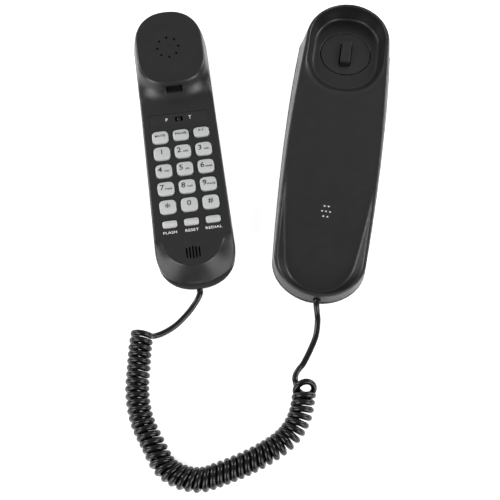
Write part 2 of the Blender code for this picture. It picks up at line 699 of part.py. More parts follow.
def handset_contents(parent):
    """Boards, capsules, weight, screws and the cord relief inside the handset."""
    board_height = KEYPAD_BOARD_TOP - BOARD_THICK / 2
    board = box((*KEYPAD_BOARD_SIZE, BOARD_THICK), (0, 8 * MM, board_height))
    finish("keypad_board", board, BOARD_GREEN, 0.5, parent=parent)
    mat_top = KEY_FLANGE_BOTTOM - KEY_TRAVEL - GAP
    mat = box(MAT_SIZE, (0, 0, mat_top - MAT_SIZE.z / 2))
    finish("keypad_mat", mat, (0.5, 0.5, 0.52), 0.8, parent=parent)
    body = box((11 * MM, 7 * MM, 3.2 * MM), (0, LABEL_CENTRE.y, KNOB_BOTTOM - 2.1 * MM))
    finish("mode_switch_body", body, SWITCH_BLACK, 0.5, parent=parent)
    plate = box(LABEL_SIZE, LABEL_CENTRE)
    plate = finish("switch_label_plate", plate, SATIN_BLACK, 0.3, parent=parent)
    combine(plate, knob_slot())
    earpiece(parent)
    microphone(parent)
    weight = box((30 * MM, 44 * MM, 6.0 * MM), (0, 4 * MM, 5.6 * MM))
    finish("ballast_weight", weight, (0.35, 0.35, 0.36), 0.5, 0.9, parent)
    for label, y in zip(("ear", "mouth"), HANDSET_SCREWS_Y):
        heights = (1.6 * MM, 2.9 * MM, 12.6 * MM)
        case_screw("handset_screw_" + label, y, heights, HANDSET_SCREW_HEAD, parent)
    cord_relief("handset_cord_relief", HANDSET_CORD, HANDSET_CORD_BORE - GAP, parent)


def earpiece(parent):
    """Receiver capsule under the tilted cap."""
    spot = Matrix.Translation((0, EAR_CENTRE_Y, cap_height(EAR_CENTRE_Y)))
    profile = ((12 * MM, -8.5 * MM), (13.5 * MM, -8.0 * MM), (13.5 * MM, -3.2 * MM), (12 * MM, -2.8 * MM))
    capsule = turned(profile, spot @ Matrix.Rotation(CAP_TILT, 4, "X"))
    return finish("earpiece_capsule", capsule, (0.5, 0.5, 0.52), 0.4, 0.7, parent)


def microphone(parent):
    """Capsule in a rubber boot behind the five slots."""
    capsule = turned(((MIC_RADIUS, 13.6 * MM), (MIC_RADIUS, 18.6 * MM)), upright(MIC_Y), 24)
    finish("microphone_capsule", capsule, STEEL, 0.4, 0.8, parent)
    outside = MIC_RADIUS + 2.2 * MM
    boot = turned(((outside, 12.0 * MM), (outside, 19.4 * MM)), upright(MIC_Y), 24)
    boot = finish("microphone_boot", boot, DEEP_BLACK, 0.8, parent=parent)
    inside = MIC_RADIUS + GAP
    combine(boot, turned(((inside, 13.3 * MM), (inside, 22 * MM)), upright(MIC_Y), 24))
    return boot


# ---------------------------------------------------------------- cord

HANDSET_LEAD_ROUTE = ((-46.6, -111.9, 4.7), (-46.5, -113.1, 4.6), (-47.2, -115.7, 3.2), (-49.2, -118.7, 2.2),
                      (-54.0, -125.7, 2.0), (-63.2, -134.5, 2.0), (-70.5, -139.7, 2.3), (-76.4, -142.9, 3.2))
COIL_ROUTE = ((-85.0, -141.9, 7.5), (-85.8, -151.0, 7.5), (-86.1, -166.1, 7.5), (-86.0, -181.9, 7.5),
              (-82.2, -199.1, 7.5), (-74.0, -215.1, 7.5), (-66.2, -227.9, 7.5), (-57.0, -234.1, 7.5),
              (-48.0, -237.1, 7.5), (-40.5, -237.1, 7.5), (-33.0, -234.5, 7.5), (-17.2, -228.1, 7.5),
              (-0.6, -219.8, 7.5), (12.3, -210.5, 7.5), (20.2, -198.3, 7.5), (23.6, -183.1, 7.5),
              (25.4, -175.7, 7.5))
CRADLE_LEAD_ROUTE = ((16.2, -175.5, 3.4), (18.9, -171.3, 2.3), (23.9, -162.4, 2.0), (29.4, -151.7, 2.0),
                     (33.4, -142.1, 2.0), (35.0, -132.2, 2.0), (34.2, -126.5, 2.9), (33.8, -123.1, 5.2),
                     (34.0, -121.2, 6.3), (34.2, -120.0, 6.4))


def smooth_route(points, spacing):
    """Points about one spacing apart on a smooth curve through the route."""
    route = [Vector(point) * MM for point in points]
    ends = [2 * route[0] - route[1], *route, 2 * route[-1] - route[-2]]
    curve = []
    for index in range(1, len(ends) - 2):
        before, start, stop, after = ends[index - 1:index + 3]
        steps = max(1, round((stop - start).length / spacing))
        for step in range(steps):
            t = step / steps
            bend = (2 * before - 5 * start + 4 * stop - after) * t * t
            twist = (3 * start - before - 3 * stop + after) * t ** 3
            curve.append(0.5 * (2 * start + (stop - before) * t + bend + twist))
    curve.append(route[-1])
    return curve


def tube(name, points, radius, resolution):
    """Round cord or coil envelope as a bevelled curve with filled ends."""
    curve = bpy.data.curves.new(name, "CURVE")
    curve.dimensions = "3D"
    curve.bevel_depth = radius
    curve.bevel_resolution = resolution
    curve.use_fill_caps = True
    curve.twist_mode = "MINIMUM"
    spline = curve.splines.new("POLY")
    spline.points.add(len(points) - 1)
    for target, point in zip(spline.points, points):
        target.co = (*point, 1.0)
    item = bpy.data.objects.new(name, curve)
    bpy.context.scene.collection.objects.link(item)
    curve.materials.append(make_material(name, DEEP_BLACK, 0.28))
    return item


def cord():
    tube("cord_handset_lead", smooth_route(HANDSET_LEAD_ROUTE, 4.5 * MM), CORD_RADIUS, 2)
    tube("cord_coil", smooth_route(COIL_ROUTE, 12 * MM), COIL_RADIUS, 4)
    tube("cord_base_lead", smooth_route(CRADLE_LEAD_ROUTE, 4.5 * MM), CORD_RADIUS, 2)


# ---------------------------------------------------------------- assembly

def frame_empty(name, origin, lean):
    empty = bpy.data.objects.new(name, None)
    bpy.context.scene.collection.objects.link(empty)
    empty.location = origin
    empty.rotation_euler = (0, 0, lean)
    return empty


def main():
    clear_scene()
    cradle = frame_empty("cradle_frame", CRADLE_ORIGIN, CRADLE_LEAN)
    base_top_cover(cradle)
    base_back_plate(cradle)
    hook_disc(cradle)
    hook_plunger(cradle)
    hook_spring(cradle)
    cradle_contents(cradle)
    handset = frame_empty("handset_frame", HANDSET_ORIGIN, HANDSET_LEAN)
    handset_front_cover(handset)
    handset_back_cover(handset)
    handset_contents(handset)
    for name, x, y, size in key_layout():
        key(name, x, y, size, handset)
    mode_switch_knob(handset)
    cord()


main()
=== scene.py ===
"""Slim corded wall telephone: smooth shells, printed keys and a wound cord over the CAD frame.

Shells are modelled as distance fields in millimetres, in the frame of their own half of the
telephone, then meshed and placed where the CAD nodes say that the half lies.
"""
import json
import math

import bmesh
import bpy
import numpy as np
from mathutils import Matrix, Vector
from mathutils.bvhtree import BVHTree

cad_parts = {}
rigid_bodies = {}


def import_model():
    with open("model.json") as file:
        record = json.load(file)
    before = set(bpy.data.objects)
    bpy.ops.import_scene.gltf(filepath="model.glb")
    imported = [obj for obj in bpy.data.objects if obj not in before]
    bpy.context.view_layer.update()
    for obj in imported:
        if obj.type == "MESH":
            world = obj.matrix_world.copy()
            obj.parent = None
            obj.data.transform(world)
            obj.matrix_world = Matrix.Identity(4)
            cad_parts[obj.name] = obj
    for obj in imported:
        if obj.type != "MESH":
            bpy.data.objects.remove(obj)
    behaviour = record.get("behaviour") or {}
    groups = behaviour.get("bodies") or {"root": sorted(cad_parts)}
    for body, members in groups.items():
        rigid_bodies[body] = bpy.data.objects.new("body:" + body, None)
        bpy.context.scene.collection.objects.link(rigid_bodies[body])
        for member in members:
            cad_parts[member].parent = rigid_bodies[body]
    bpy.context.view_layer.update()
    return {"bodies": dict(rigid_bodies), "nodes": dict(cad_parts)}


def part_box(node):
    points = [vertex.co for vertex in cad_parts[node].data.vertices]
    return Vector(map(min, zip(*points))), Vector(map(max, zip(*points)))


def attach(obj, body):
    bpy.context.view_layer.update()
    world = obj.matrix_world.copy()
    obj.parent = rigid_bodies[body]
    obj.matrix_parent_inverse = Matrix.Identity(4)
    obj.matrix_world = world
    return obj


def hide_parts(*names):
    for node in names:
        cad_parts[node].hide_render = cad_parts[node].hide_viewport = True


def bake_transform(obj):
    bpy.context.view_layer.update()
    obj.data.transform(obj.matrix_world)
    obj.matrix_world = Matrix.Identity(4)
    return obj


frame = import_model()
NODES = frame["nodes"]
MM = 0.001


# ---------------------------------------------------------------- where the two halves lie

def middle(node):
    """Centre of a CAD node's box, in metres."""
    low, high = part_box(node)
    return (low + high) / 2


def half_frame(low_node, low_y, high_node, high_y):
    """Frame whose +Y runs through two nodes that lie at known stations, in millimetres."""
    low, high = middle(low_node), middle(high_node)
    along = (high - low) / (high_y - low_y)
    origin = low - along * low_y
    lean = math.atan2(-along.x, along.y)
    return Matrix.Translation((origin.x, origin.y, 0)) @ Matrix.Rotation(lean, 4, "Z")


# Stations of the nodes that carry the frames
LOWER_SCREW_Y = -166.0
SMALL_KEY_Y = -35.8
FUNCTION_KEY_Y = 34.8
CRADLE = half_frame("base_screw_lower", LOWER_SCREW_Y, "hook_disc", 0.0)
HANDSET = half_frame("key_reset", SMALL_KEY_Y, "key_pause", FUNCTION_KEY_Y)


# ---------------------------------------------------------------- materials

# Most values of a noise texture lie between these two
NOISE_LOW = 0.3
NOISE_HIGH = 0.7


def principled(name, colour, roughness, metallic=0.0, specular=0.5):
    material = bpy.data.materials.new(name)
    material.use_nodes = True
    shader = material.node_tree.nodes["Principled BSDF"]
    shader.inputs["Base Color"].default_value = (*colour, 1.0)
    shader.inputs["Roughness"].default_value = roughness
    shader.inputs["Metallic"].default_value = metallic
    shader.inputs["Specular IOR Level"].default_value = specular
    return material, material.node_tree, shader


def noise(tree, size, detail=3.0, stretch=None):
    """Noise in object space; size is its grain in metres."""
    place = tree.nodes.new("ShaderNodeTexCoord")
    texture = tree.nodes.new("ShaderNodeTexNoise")
    texture.inputs["Scale"].default_value = 1.0 / size
    texture.inputs["Detail"].default_value = detail
    if stretch:
        mapping = tree.nodes.new("ShaderNodeMapping")
        mapping.inputs["Scale"].default_value = stretch
        tree.links.new(place.outputs["Object"], mapping.inputs["Vector"])
        tree.links.new(mapping.outputs["Vector"], texture.inputs["Vector"])
    else:
        tree.links.new(place.outputs["Object"], texture.inputs["Vector"])
    return texture


def spread(tree, texture, low, high):
    """Noise remapped to a range of values."""
    remap = tree.nodes.new("ShaderNodeMapRange")
    remap.inputs["From Min"].default_value = NOISE_LOW
    remap.inputs["From Max"].default_value = NOISE_HIGH
    remap.inputs["To Min"].default_value = low
    remap.inputs["To Max"].default_value = high
    tree.links.new(texture.outputs["Fac"], remap.inputs["Value"])
    return remap.outputs["Result"]


def mottle(tree, shader, colour, size, amount):
    """Base colour that drifts a little lighter and darker."""
    texture = noise(tree, size)
    colours = tree.nodes.new("ShaderNodeValToRGB")
    darker, lighter = colours.color_ramp.elements
    darker.position, lighter.position = NOISE_LOW, NOISE_HIGH
    darker.color = (*(c * (1 - amount) for c in colour), 1)
    lighter.color = (*(c * (1 + amount) for c in colour), 1)
    tree.links.new(texture.outputs["Fac"], colours.inputs["Fac"])
    tree.links.new(colours.outputs["Color"], shader.inputs["Base Color"])


def grain(tree, shader, size, depth, detail=2.0, stretch=None):
    """Fine bump; depth in metres."""
    texture = noise(tree, size, detail, stretch)
    bump = tree.nodes.new("ShaderNodeBump")
    bump.inputs["Strength"].default_value = 1.0
    bump.inputs["Distance"].default_value = depth
    tree.links.new(texture.outputs["Fac"], bump.inputs["Height"])
    tree.links.new(bump.outputs["Normal"], shader.inputs["Normal"])


def moulded(name, colour, roughness, size=0.5 * MM, depth=0.006 * MM, amount=0.12, specular=0.5):
    """Moulded plastic: fine spark-eroded grain, uneven gloss and a slight mottle."""
    material, tree, shader = principled(name, colour, roughness, specular=specular)
    mottle(tree, shader, colour, 14 * MM, amount)
    uneven = 0.05
    gloss = spread(tree, noise(tree, 6 * MM, detail=4.0), roughness - uneven, roughness + uneven)
    tree.links.new(gloss, shader.inputs["Roughness"])
    grain(tree, shader, size, depth)
    return material


def metal(name, colour, roughness, stretch=(1, 14, 14)):
    """Drawn or plated metal with a brushed bump."""
    material, tree, shader = principled(name, colour, roughness, metallic=1.0)
    mottle(tree, shader, colour, 3 * MM, amount=0.1)
    grain(tree, shader, 0.8 * MM, 0.004 * MM, detail=3.0, stretch=stretch)
    return material


def fibrous(name, colour):
    """Felt: rough, sheeny, with a fibre bump."""
    material, tree, shader = principled(name, colour, roughness=0.95)
    mottle(tree, shader, colour, 0.8 * MM, amount=0.08)
    grain(tree, shader, 0.3 * MM, 0.05 * MM, detail=6.0)
    shader.inputs["Sheen Weight"].default_value = 0.3
    return material


SHELL = moulded("shell_plastic", (0.0115, 0.0115, 0.012), 0.34, amount=0.05)
CRADLE_SHELL = moulded("cradle_plastic", (0.011, 0.011, 0.0115), 0.38, amount=0.05)
BACK = moulded("back_plastic", (0.018, 0.018, 0.019), 0.5, depth=0.012 * MM)
DARK = moulded("insert_plastic", (0.014, 0.014, 0.015), 0.4)
JACKET = moulded("cord_jacket_vinyl", (0.004, 0.004, 0.0045), 0.2, size=1.2 * MM, depth=0.004 * MM,
                 specular=0.35)
# Black rubber, its colour and gloss darkened further as painted shade so that the mouth slits read dark
RUBBER_DARKENED_AS_SHADE = moulded("rubber_darkened_as_slit_shade", (0.003, 0.003, 0.003), 0.7, specular=0.1)
KEY = moulded("key_plastic", (0.47, 0.48, 0.48), 0.38, size=0.4 * MM, depth=0.004 * MM, amount=0.03)
SILICONE = moulded("mat_silicone", (0.42, 0.43, 0.45), 0.7)
LABEL = moulded("label_film", (0.014, 0.014, 0.015), 0.3)
WHITE_INK = moulded("white_ink", (0.80, 0.80, 0.79), 0.5, depth=0.002 * MM, amount=0.04)
DARK_INK = moulded("dark_ink", (0.02, 0.02, 0.022), 0.45, depth=0.002 * MM)
SOLDER_MASK = moulded("solder_mask", (0.02, 0.13, 0.05), 0.35, size=1.5 * MM, depth=0.02 * MM)
FELT = fibrous("sounder_felt", (0.85, 0.85, 0.83))
ZINC = metal("zinc_plate", (0.60, 0.60, 0.62), 0.3)
BRASS = metal("sounder_brass_sheet", (0.60, 0.46, 0.20), 0.3)
CAN = metal("capsule_can", (0.62, 0.62, 0.63), 0.35)
IRON = metal("ballast_iron", (0.35, 0.35, 0.36), 0.55, stretch=(1, 1, 1))

CAD_LOOKS = {
    "base_circuit_board": SOLDER_MASK, "hook_switch_body": DARK, "hook_spring": ZINC,
    "ringer_sounder": BRASS, "wall_line_jack": DARK, "base_screw_upper": ZINC, "base_screw_lower": ZINC,
    "keypad_board": SOLDER_MASK, "keypad_mat": SILICONE, "mode_switch_body": RUBBER_DARKENED_AS_SHADE,
    # The microphone's capsule and boot take the near-black rubber as painted shade seen through the mouth
    # slits
    "earpiece_capsule": CAN, "microphone_capsule": RUBBER_DARKENED_AS_SHADE, "microphone_boot": RUBBER_DARKENED_AS_SHADE,
    "ballast_weight": IRON, "handset_screw_ear": ZINC, "handset_screw_mouth": ZINC,
}


def finish_cad_nodes():
    """Materials for the CAD nodes that stay, most of them inside the shells."""
    for name, material in CAD_LOOKS.items():
        mesh = NODES[name].data
        mesh.materials.clear()
        mesh.materials.append(material)


# ---------------------------------------------------------------- distance fields

# Lower limits that keep divisions away from zero
TINY = 1e-6
SMALL = 1e-4
# A wall this far off plays no part
FAR = 400
SHARP_ANGLE = math.radians(50)


def edge(a, b, radius, other=None):
    """Common part of two fields, its edge rounded; other is the radius across the second."""
    other = radius if other is None else other
    s = np.maximum(a + radius, 0) / radius
    t = np.maximum(b + other, 0) / other
    r = np.sqrt(s * s + t * t)
    steep = np.sqrt((s / radius) ** 2 + (t / other) ** 2) / np.maximum(r, TINY)
    rounded = (r - 1) / np.maximum(steep, TINY)
    return np.where((s > 0) & (t > 0), rounded, np.maximum(a, b))


def fillet(a, b, radius):
    """Two fields together, with a hollow fillet between them."""
    return -edge(-a, -b, radius)


def cut(body, tool, radius=0.35):
    """Body less the tool, the new edge rounded."""
    return edge(body, -tool, radius)


def plan(x, y, half, low, high, low_length, high_length, power=2.25):
    """Upright wall with straight sides and superellipse ends, each end with its own length."""
    over = np.maximum(y - (high - high_length), 0) / high_length
    under = np.maximum(low + low_length - y, 0) / low_length
    u = np.maximum(np.abs(x) / half, SMALL)
    v = np.maximum(over + under, SMALL)
    length = np.where(over > under, high_length, low_length)
    r = (u ** power + v ** power) ** (1 / power)
    across = (u / r) ** (power - 1) / half
    along = np.where(over + under > 0, (v / r) ** (power - 1) / length, 0)
    return (r - 1) / np.sqrt(across * across + along * along)


def rounded_box(x, y, half_x, half_y, corner):
    """Upright rectangle with round corners."""
    qx = np.abs(x) - (half_x - corner)
    qy = np.abs(y) - (half_y - corner)
    outside = np.sqrt(np.maximum(qx, 0) ** 2 + np.maximum(qy, 0) ** 2)
    return outside + np.minimum(np.maximum(qx, qy), 0) - corner


def ramp(value, start, stop):
    """Smooth rise from 0 at start to 1 at stop."""
    t = np.clip((value - start) / (stop - start), 0, 1)
    return t * t * (3 - 2 * t)


def surface_net(values, low, step):
    """Quad mesh of the zero surface of a sampled field."""
    inside = values < 0
    cells = np.zeros(tuple(n - 1 for n in values.shape), np.int8)
    corners = [(i, j, k) for i in (0, 1) for j in (0, 1) for k in (0, 1)]
    for i, j, k in corners:
        window = tuple(slice(o, n - 1 + o) for o, n in zip((i, j, k), values.shape))
        cells += inside[window]
    mixed = (cells > 0) & (cells < 8)
    where = np.argwhere(mixed)
    index = np.full(mixed.shape, -1, np.int64)
    index[mixed] = np.arange(len(where))
    total = np.zeros((len(where), 3))
    count = np.zeros(len(where))
    for first in corners:
        for axis in range(3):
            if first[axis]:
                continue
            last = tuple(o + (n == axis) for n, o in enumerate(first))
            a = values[tuple((where + first).T)]
            b = values[tuple((where + last).T)]
            crossed = (a < 0) != (b < 0)
            share = np.where(crossed, a / np.where(crossed, a - b, 1), 0)
            point = where + first + share[:, None] * (np.array(last) - first)
            total += np.where(crossed[:, None], point, 0)
            count += crossed
    points = low + step * total / count[:, None]
    quads = []
    for axis in range(3):
        b, c = np.eye(3, dtype=int)[[(axis + 1) % 3, (axis + 2) % 3]]
        near = inside[tuple(slice(0, n - (m == axis)) for m, n in enumerate(inside.shape))]
        far = inside[tuple(slice(m == axis, n) for m, n in enumerate(inside.shape))]
        spots = np.argwhere(near != far)
        around = [index[tuple((spots - shift).T)] for shift in (b + c, c, 0 * b, b)]
        ring = np.stack(around, axis=1)
        outward = near[tuple(spots.T)]
        quads.append(np.where(outward[:, None], ring, ring[:, ::-1]))
    return points, np.concatenate(quads)


def settle(points, field, step):
    """Moves the points onto the field's exact zero surface."""
    probe = 0.05
    rounds = 3
    least_strength = 0.04
    farthest = 0.6 * step
    for _ in range(rounds):
        x, y, z = points.T
        value = field(x, y, z)
        slope = np.stack([field(x + probe, y, z) - field(x - probe, y, z),
                          field(x, y + probe, z) - field(x, y - probe, z),
                          field(x, y, z + probe) - field(x, y, z - probe)], axis=1) / (2 * probe)
        strength = np.maximum((slope ** 2).sum(axis=1), least_strength)
        move = -(value / strength)[:, None] * slope
        reach = np.linalg.norm(move, axis=1)
        points = points + move * np.minimum(1, farthest / np.maximum(reach, TINY))[:, None]
    return points


def meshed(name, field, low, high, step, place, material):
    """Object of a distance field, sampled in a box given in millimetres."""
    off_faces = 0.37 * step
    axes = [np.arange(a - off_faces, b + step, step) for a, b in zip(low, high)]
    x, y, z = np.meshgrid(*axes, indexing="ij")
    points, quads = surface_net(field(x, y, z), np.array([a[0] for a in axes]), step)
    points = settle(points, field, step)
    mesh = bpy.data.meshes.new(name)
    mesh.from_pydata((points * MM).tolist(), [], quads.tolist())
    mesh.transform(place)
    return placed(name, mesh, material)


def placed(name, mesh, material):
    """Smooth-shaded object of a mesh that already lies in place."""
    item = bpy.data.objects.new(name, mesh)
    bpy.context.scene.collection.objects.link(item)
    mesh.materials.clear()
    mesh.materials.append(material)
    mesh.shade_smooth()
    return item


def outline(width, length, power, sides, inset=0.0):
    """Superellipse plan, inset from its edge; higher powers give squarer corners."""
    ring = []
    for step in range(sides):
        angle = 2 * math.pi * (step + 0.5) / sides
        cosine, sine = math.cos(angle), math.sin(angle)
        x = (width / 2 - inset) * math.copysign(abs(cosine) ** (2 / power), cosine)
        y = (length / 2 - inset) * math.copysign(abs(sine) ** (2 / power), sine)
        ring.append((x, y))
    return ring


def prism(builder, ring, cx, cy, low, high):
    """Closed upright prism over a ring about (cx, cy), in millimetres."""
    lower, upper = ([builder.verts.new(((cx + x) * MM, (cy + y) * MM, z * MM)) for x, y in ring]
                    for z in (low, high))
    builder.faces.new(list(reversed(lower)))
    builder.faces.new(upper)
    for index in range(len(ring)):
        after = (index + 1) % len(ring)
        builder.faces.new((lower[index], lower[after], upper[after], upper[index]))


def carve(item, builder, place):
    """Cuts closed bodies out of a piece, leaving crisp edges."""
    mesh = bpy.data.meshes.new("cutters")
    builder.to_mesh(mesh)
    builder.free()
    mesh.transform(place)
    cutters = bpy.data.objects.new("cutters", mesh)
    bpy.context.scene.collection.objects.link(cutters)
    change = item.modifiers.new("openings", "BOOLEAN")
    change.operation = "DIFFERENCE"
    change.solver = "MANIFOLD"
    change.object = cutters
    bpy.context.view_layer.update()
    graph = bpy.context.evaluated_depsgraph_get()
    result = bpy.data.meshes.new_from_object(item.evaluated_get(graph))
    item.modifiers.clear()
    item.data = result
    result.set_sharp_from_angle(angle=SHARP_ANGLE)
    bpy.data.objects.remove(cutters, do_unlink=True)


# ---------------------------------------------------------------- handset shells

# Millimetres in the handset's own frame, unless they say otherwise
FACE = 22.0
FRONT_SEAM = 8.3
BACK_SEAM = 8.0
HANDSET_HALF = 28.2
EAR_END = 136
MOUTH_END = -81
END_LENGTH = 26.5
# Height where the side walls and the ear end stand out most, and how fast they draw in from it
WIDEST_Z = 11.5
SIDE_BOW = 0.006
END_BOW = 0.0042
CHIN_CENTRE = (-1.0, -47.3)
CHIN_RADIUS = 21.3
CHIN_SLOPE = 1.38
# The mouth end draws in from this height up
CHIN_TUCK_Z = 5.5
CHIN_TUCK_SLOPE = 0.85
CAP_LOW = 73.2
CAP_BASE = 35.6
CAP_TILT = math.radians(8.5)
CAP_SLOPE = math.tan(CAP_TILT)
CAP_WALL_SLOPE = 0.35
CAP_FILLET = 9.5
# How much the side walls draw in towards the cap, and over what height
CAP_TUCK = 3.1
CAP_TUCK_HEIGHT = 22
EAR_CENTRE = (-1.2, 101.8)
EAR_DISH = 19.0
EAR_CIRCLE = 7.95
EAR_HOLES = 8
EAR_HOLE = 1.9
MIC_Y = -58.7
SLIT_WIDTH = 1.15
SLIT_PITCH = 2.2
# Squareness of superellipse outlines
ROUND = 2.0
SQUARE = 40.0
LABEL_CENTRE_Y = 49.7
LABEL_RECESS = (44.4, 10.2)
LABEL_SIZE = (44.0, 9.8)
LABEL_FLOOR = 21.1
LABEL_TOP = 21.75
SWITCH_WINDOW = (5.8, 4.3)
WELL_GAP = 0.35
WELL_FLOOR = 15.6
# Half-sizes across and up of the slot that hooks onto the cradle, and its middle
HOOK_SLOT = (6.3, 2.2)
HOOK_SLOT_Y = 69
HOOK_SLOT_Z = 29.4
HANDSET_SCREWS_Y = (62.5, -69.0)
SEAT_RADIUS = 3.1
SEAT_DEPTH = 3.2
# Middle of the cord's bore across and up, and how far in the bore and the grommet start
BORE_X = -0.5
BORE_Z = 4.7
BORE_RADIUS = 2.55
BORE_START = -70
GROMMET_START = -75
# Width, length and shift along the handset of the key caps
DIAL_KEY = (12.0, 10.6, 0.0)
SMALL_KEY = (10.4, 5.0, 0.0)
OTHER_KEYS = {"key_mute": (12.0, 9.9, 0.0), "key_pause": (11.7, 8.7, 0.3), "key_pt": (11.5, 7.8, 0.8),
              "key_flash": SMALL_KEY, "key_reset": SMALL_KEY, "key_redial": SMALL_KEY}


def key_table():
    """Name: centre, width and length of each key cap, its centre taken from its CAD node."""
    table = {}
    to_local = HANDSET.inverted()
    for body in frame["bodies"]:
        if body.startswith("key_"):
            centre = to_local @ middle(body) / MM
            width, length, shift = OTHER_KEYS.get(body, DIAL_KEY)
            table[body] = (centre.x, centre.y + shift, width, length)
    return table


KEYS = key_table()


def cap_height(y):
    """Top of the raised ear cap."""
    return CAP_BASE + CAP_SLOPE * (y - CAP_LOW)


def chin_height(x, y):
    """Flat face, falling away in front of a round edge at the mouth end, and its slope."""
    dx, dy = x - CHIN_CENTRE[0], CHIN_CENTRE[1] - y
    reach = np.sqrt(dx * dx + dy * dy)
    turn = np.abs(np.arctan2(dx, np.maximum(dy, TINY))) / (math.pi / 2)
    slope = CHIN_SLOPE * (1 - np.clip(turn, 0, 1) ** 3)
    return FACE - np.maximum(reach - CHIN_RADIUS, 0) * slope, slope * (reach > CHIN_RADIUS)


def handset_half(y, z):
    """Half-width: a bowed wall, drawn in under the raised cap."""
    under_cap = np.clip(1 - (cap_height(y) - z) / CAP_TUCK_HEIGHT, 0, 1.2)
    bow = SIDE_BOW * (z - WIDEST_Z) ** 2 * (1 - ramp(y, 55, 80))
    tuck = CAP_TUCK * under_cap ** 2 * ramp(y, 58, 80)
    return HANDSET_HALF - bow - tuck


def ear_cap(x, y, z, half):
    """Raised, tilted cap with a shallow dish over the earpiece."""
    low = CAP_LOW - CAP_WALL_SLOPE * (CAP_BASE - z)
    wall = plan(x, y, half + 0.3, low, FAR, 25, 27, 2.8)
    from_ear = np.sqrt((x - EAR_CENTRE[0]) ** 2 + (y - EAR_CENTRE[1]) ** 2)
    dish = 0.5 * np.clip(1.3 - (from_ear / EAR_DISH) ** 2, 0, 0.6)
    top = (z - cap_height(y) + dish) * math.cos(CAP_TILT)
    return edge(wall, top, 1.6)


def handset_body(x, y, z):
    """Outside of the handset, front and back."""
    roof_height, slope = chin_height(x, y)
    half = handset_half(y, z)
    roof = (z - roof_height) / np.sqrt(1 + slope * slope)
    roof = fillet(roof, ear_cap(x, y, z, half), CAP_FILLET)
    tuck = CHIN_TUCK_SLOPE * np.clip(z - CHIN_TUCK_Z, 0, 4.6)
    high = EAR_END - END_BOW * (z - WIDEST_Z) ** 2
    wall = plan(x, y, half, tuck + MOUTH_END, high, END_LENGTH - 0.7 * tuck, 27.5)
    rounding = 1.1 - 0.6 * ramp(-y, 55, 68)
    return edge(wall, roof, rounding)


def handset_front(x, y, z):
    """Front shell with its key wells and the slot that hooks onto the cradle's tab."""
    body = edge(handset_body(x, y, z), FRONT_SEAM - z, 0.3)
    for cx, cy, width, length in KEYS.values():
        corner = 0.34 * min(width, length)
        well = rounded_box(x - cx, y - cy, width / 2 + WELL_GAP, length / 2 + WELL_GAP, corner)
        body = cut(body, np.maximum(well, WELL_FLOOR - z))
    hook_slot = rounded_box(x + 0.3, z - HOOK_SLOT_Z, *HOOK_SLOT, 0.4)
    return cut(body, np.maximum(hook_slot, np.abs(y - HOOK_SLOT_Y) - 8))


def front_cutters():
    """Ear holes, mouth slits and label recess."""
    builder = bmesh.new()
    for step in range(EAR_HOLES):
        angle = math.radians(360 / EAR_HOLES * step + 1.8)
        hx = EAR_CENTRE[0] + EAR_CIRCLE * math.cos(angle)
        hy = EAR_CENTRE[1] + EAR_CIRCLE * math.sin(angle)
        prism(builder, outline(EAR_HOLE, EAR_HOLE, ROUND, 24), hx, hy, 34, 46)
    for step in range(-2, 3):
        slit = outline(SLIT_WIDTH, 9.9 - 1.1 * abs(step), 5.0, 32)
        prism(builder, slit, step * SLIT_PITCH - 1.4, MIC_Y, 10.5, 25)
    prism(builder, outline(*LABEL_RECESS, SQUARE, 120), 0, LABEL_CENTRE_Y, LABEL_FLOOR, 25)
    return builder


def switch_window(low):
    """Opening for the mode switch's knob."""
    builder = bmesh.new()
    prism(builder, outline(*SWITCH_WINDOW, 12.0, 48), 0, LABEL_CENTRE_Y, low, 23)
    return builder


def handset_back(x, y, z):
    """Back shell with two screw seats and the cord's bore."""
    wall = plan(x, y, 27.8, MOUTH_END, 135.5, END_LENGTH, 28.0)
    body = edge(edge(wall, -z, 15.0, 8.0), z - BACK_SEAM, 0.3)
    for screw_y in HANDSET_SCREWS_Y:
        seat = np.hypot(x, y - screw_y) - SEAT_RADIUS
        body = cut(body, np.maximum(seat, z - SEAT_DEPTH), 0.3)
    bore = np.hypot(x - BORE_X, z - BORE_Z) - BORE_RADIUS
    return cut(body, np.maximum(bore, y - BORE_START), 0.3)


# ---------------------------------------------------------------- cradle shell

# Millimetres in the cradle's own frame
SADDLE = 31.7
SADDLE_SLOPE = 0.0943
PLATE_TOP = 2.5
EAR_TIP = 39
MOUTH_TIP = -201.5
EAR_TIP_LENGTH = 27
MOUTH_TIP_LENGTH = 29.5
# Half-widths: widest station and value, then (station, loss) at the ear end and at the mouth end
RIM_BOW = (-85, 34.7, (4, 2.9), (-172, 2.4), 1.5)
FOOT_BOW = (-40, 38.2, (12, 1.2), (-172, 4.7), 2.0)
POCKET_FLOOR = 20.0
# Pocket wall at four heights: height, half-width, low end, high end
POCKET_WALL = ((POCKET_FLOOR, 24.1, -33.0, 32.0), (POCKET_FLOOR + 1.2, 25.4, -35.5, 32.4),
               (28.5, 28.9, -40.0, 33.1), (44.0, 29.2, -39.5, 33.3))
DISC_Y = -1.2
DISC_HOLE = 19.65
DISC_HOLE_FLOOR = 5.8
DISC_RADIUS = 19.25
DISC_TOP = 20.3
DISC_BOTTOM = 15.9
DISC_FLANGE_RADIUS = 21.0
# Half-sizes of the tab, of the flange that stops it and of its slot
TAB = (3.8, 10.3)
TAB_FLANGE = (4.8, 11.0)
TAB_SLOT = (4.25, 10.75)
TAB_TOP = 24.6
TAB_FLANGE_TOP = 15.4
TAB_BOTTOM = 13.6
STEM_BOTTOM = 12.2
RINGER_Y = -136.7
SOUND_HOLE = 0.72
SCOOP_START = -98.0
SCOOP_FULL = -180.0
SCOOP_DEPTH = 8.3
CORD_BORE_X = 1.5
CORD_BORE_Z = 6.4
CORD_BORE_RADIUS = 2.6
CORD_BORE_START = -196.5
CRADLE_GROMMET_START = -196.8
KEYHOLES_Y = (-38.0, -118.0)
KEYHOLE_HEAD = 4.2
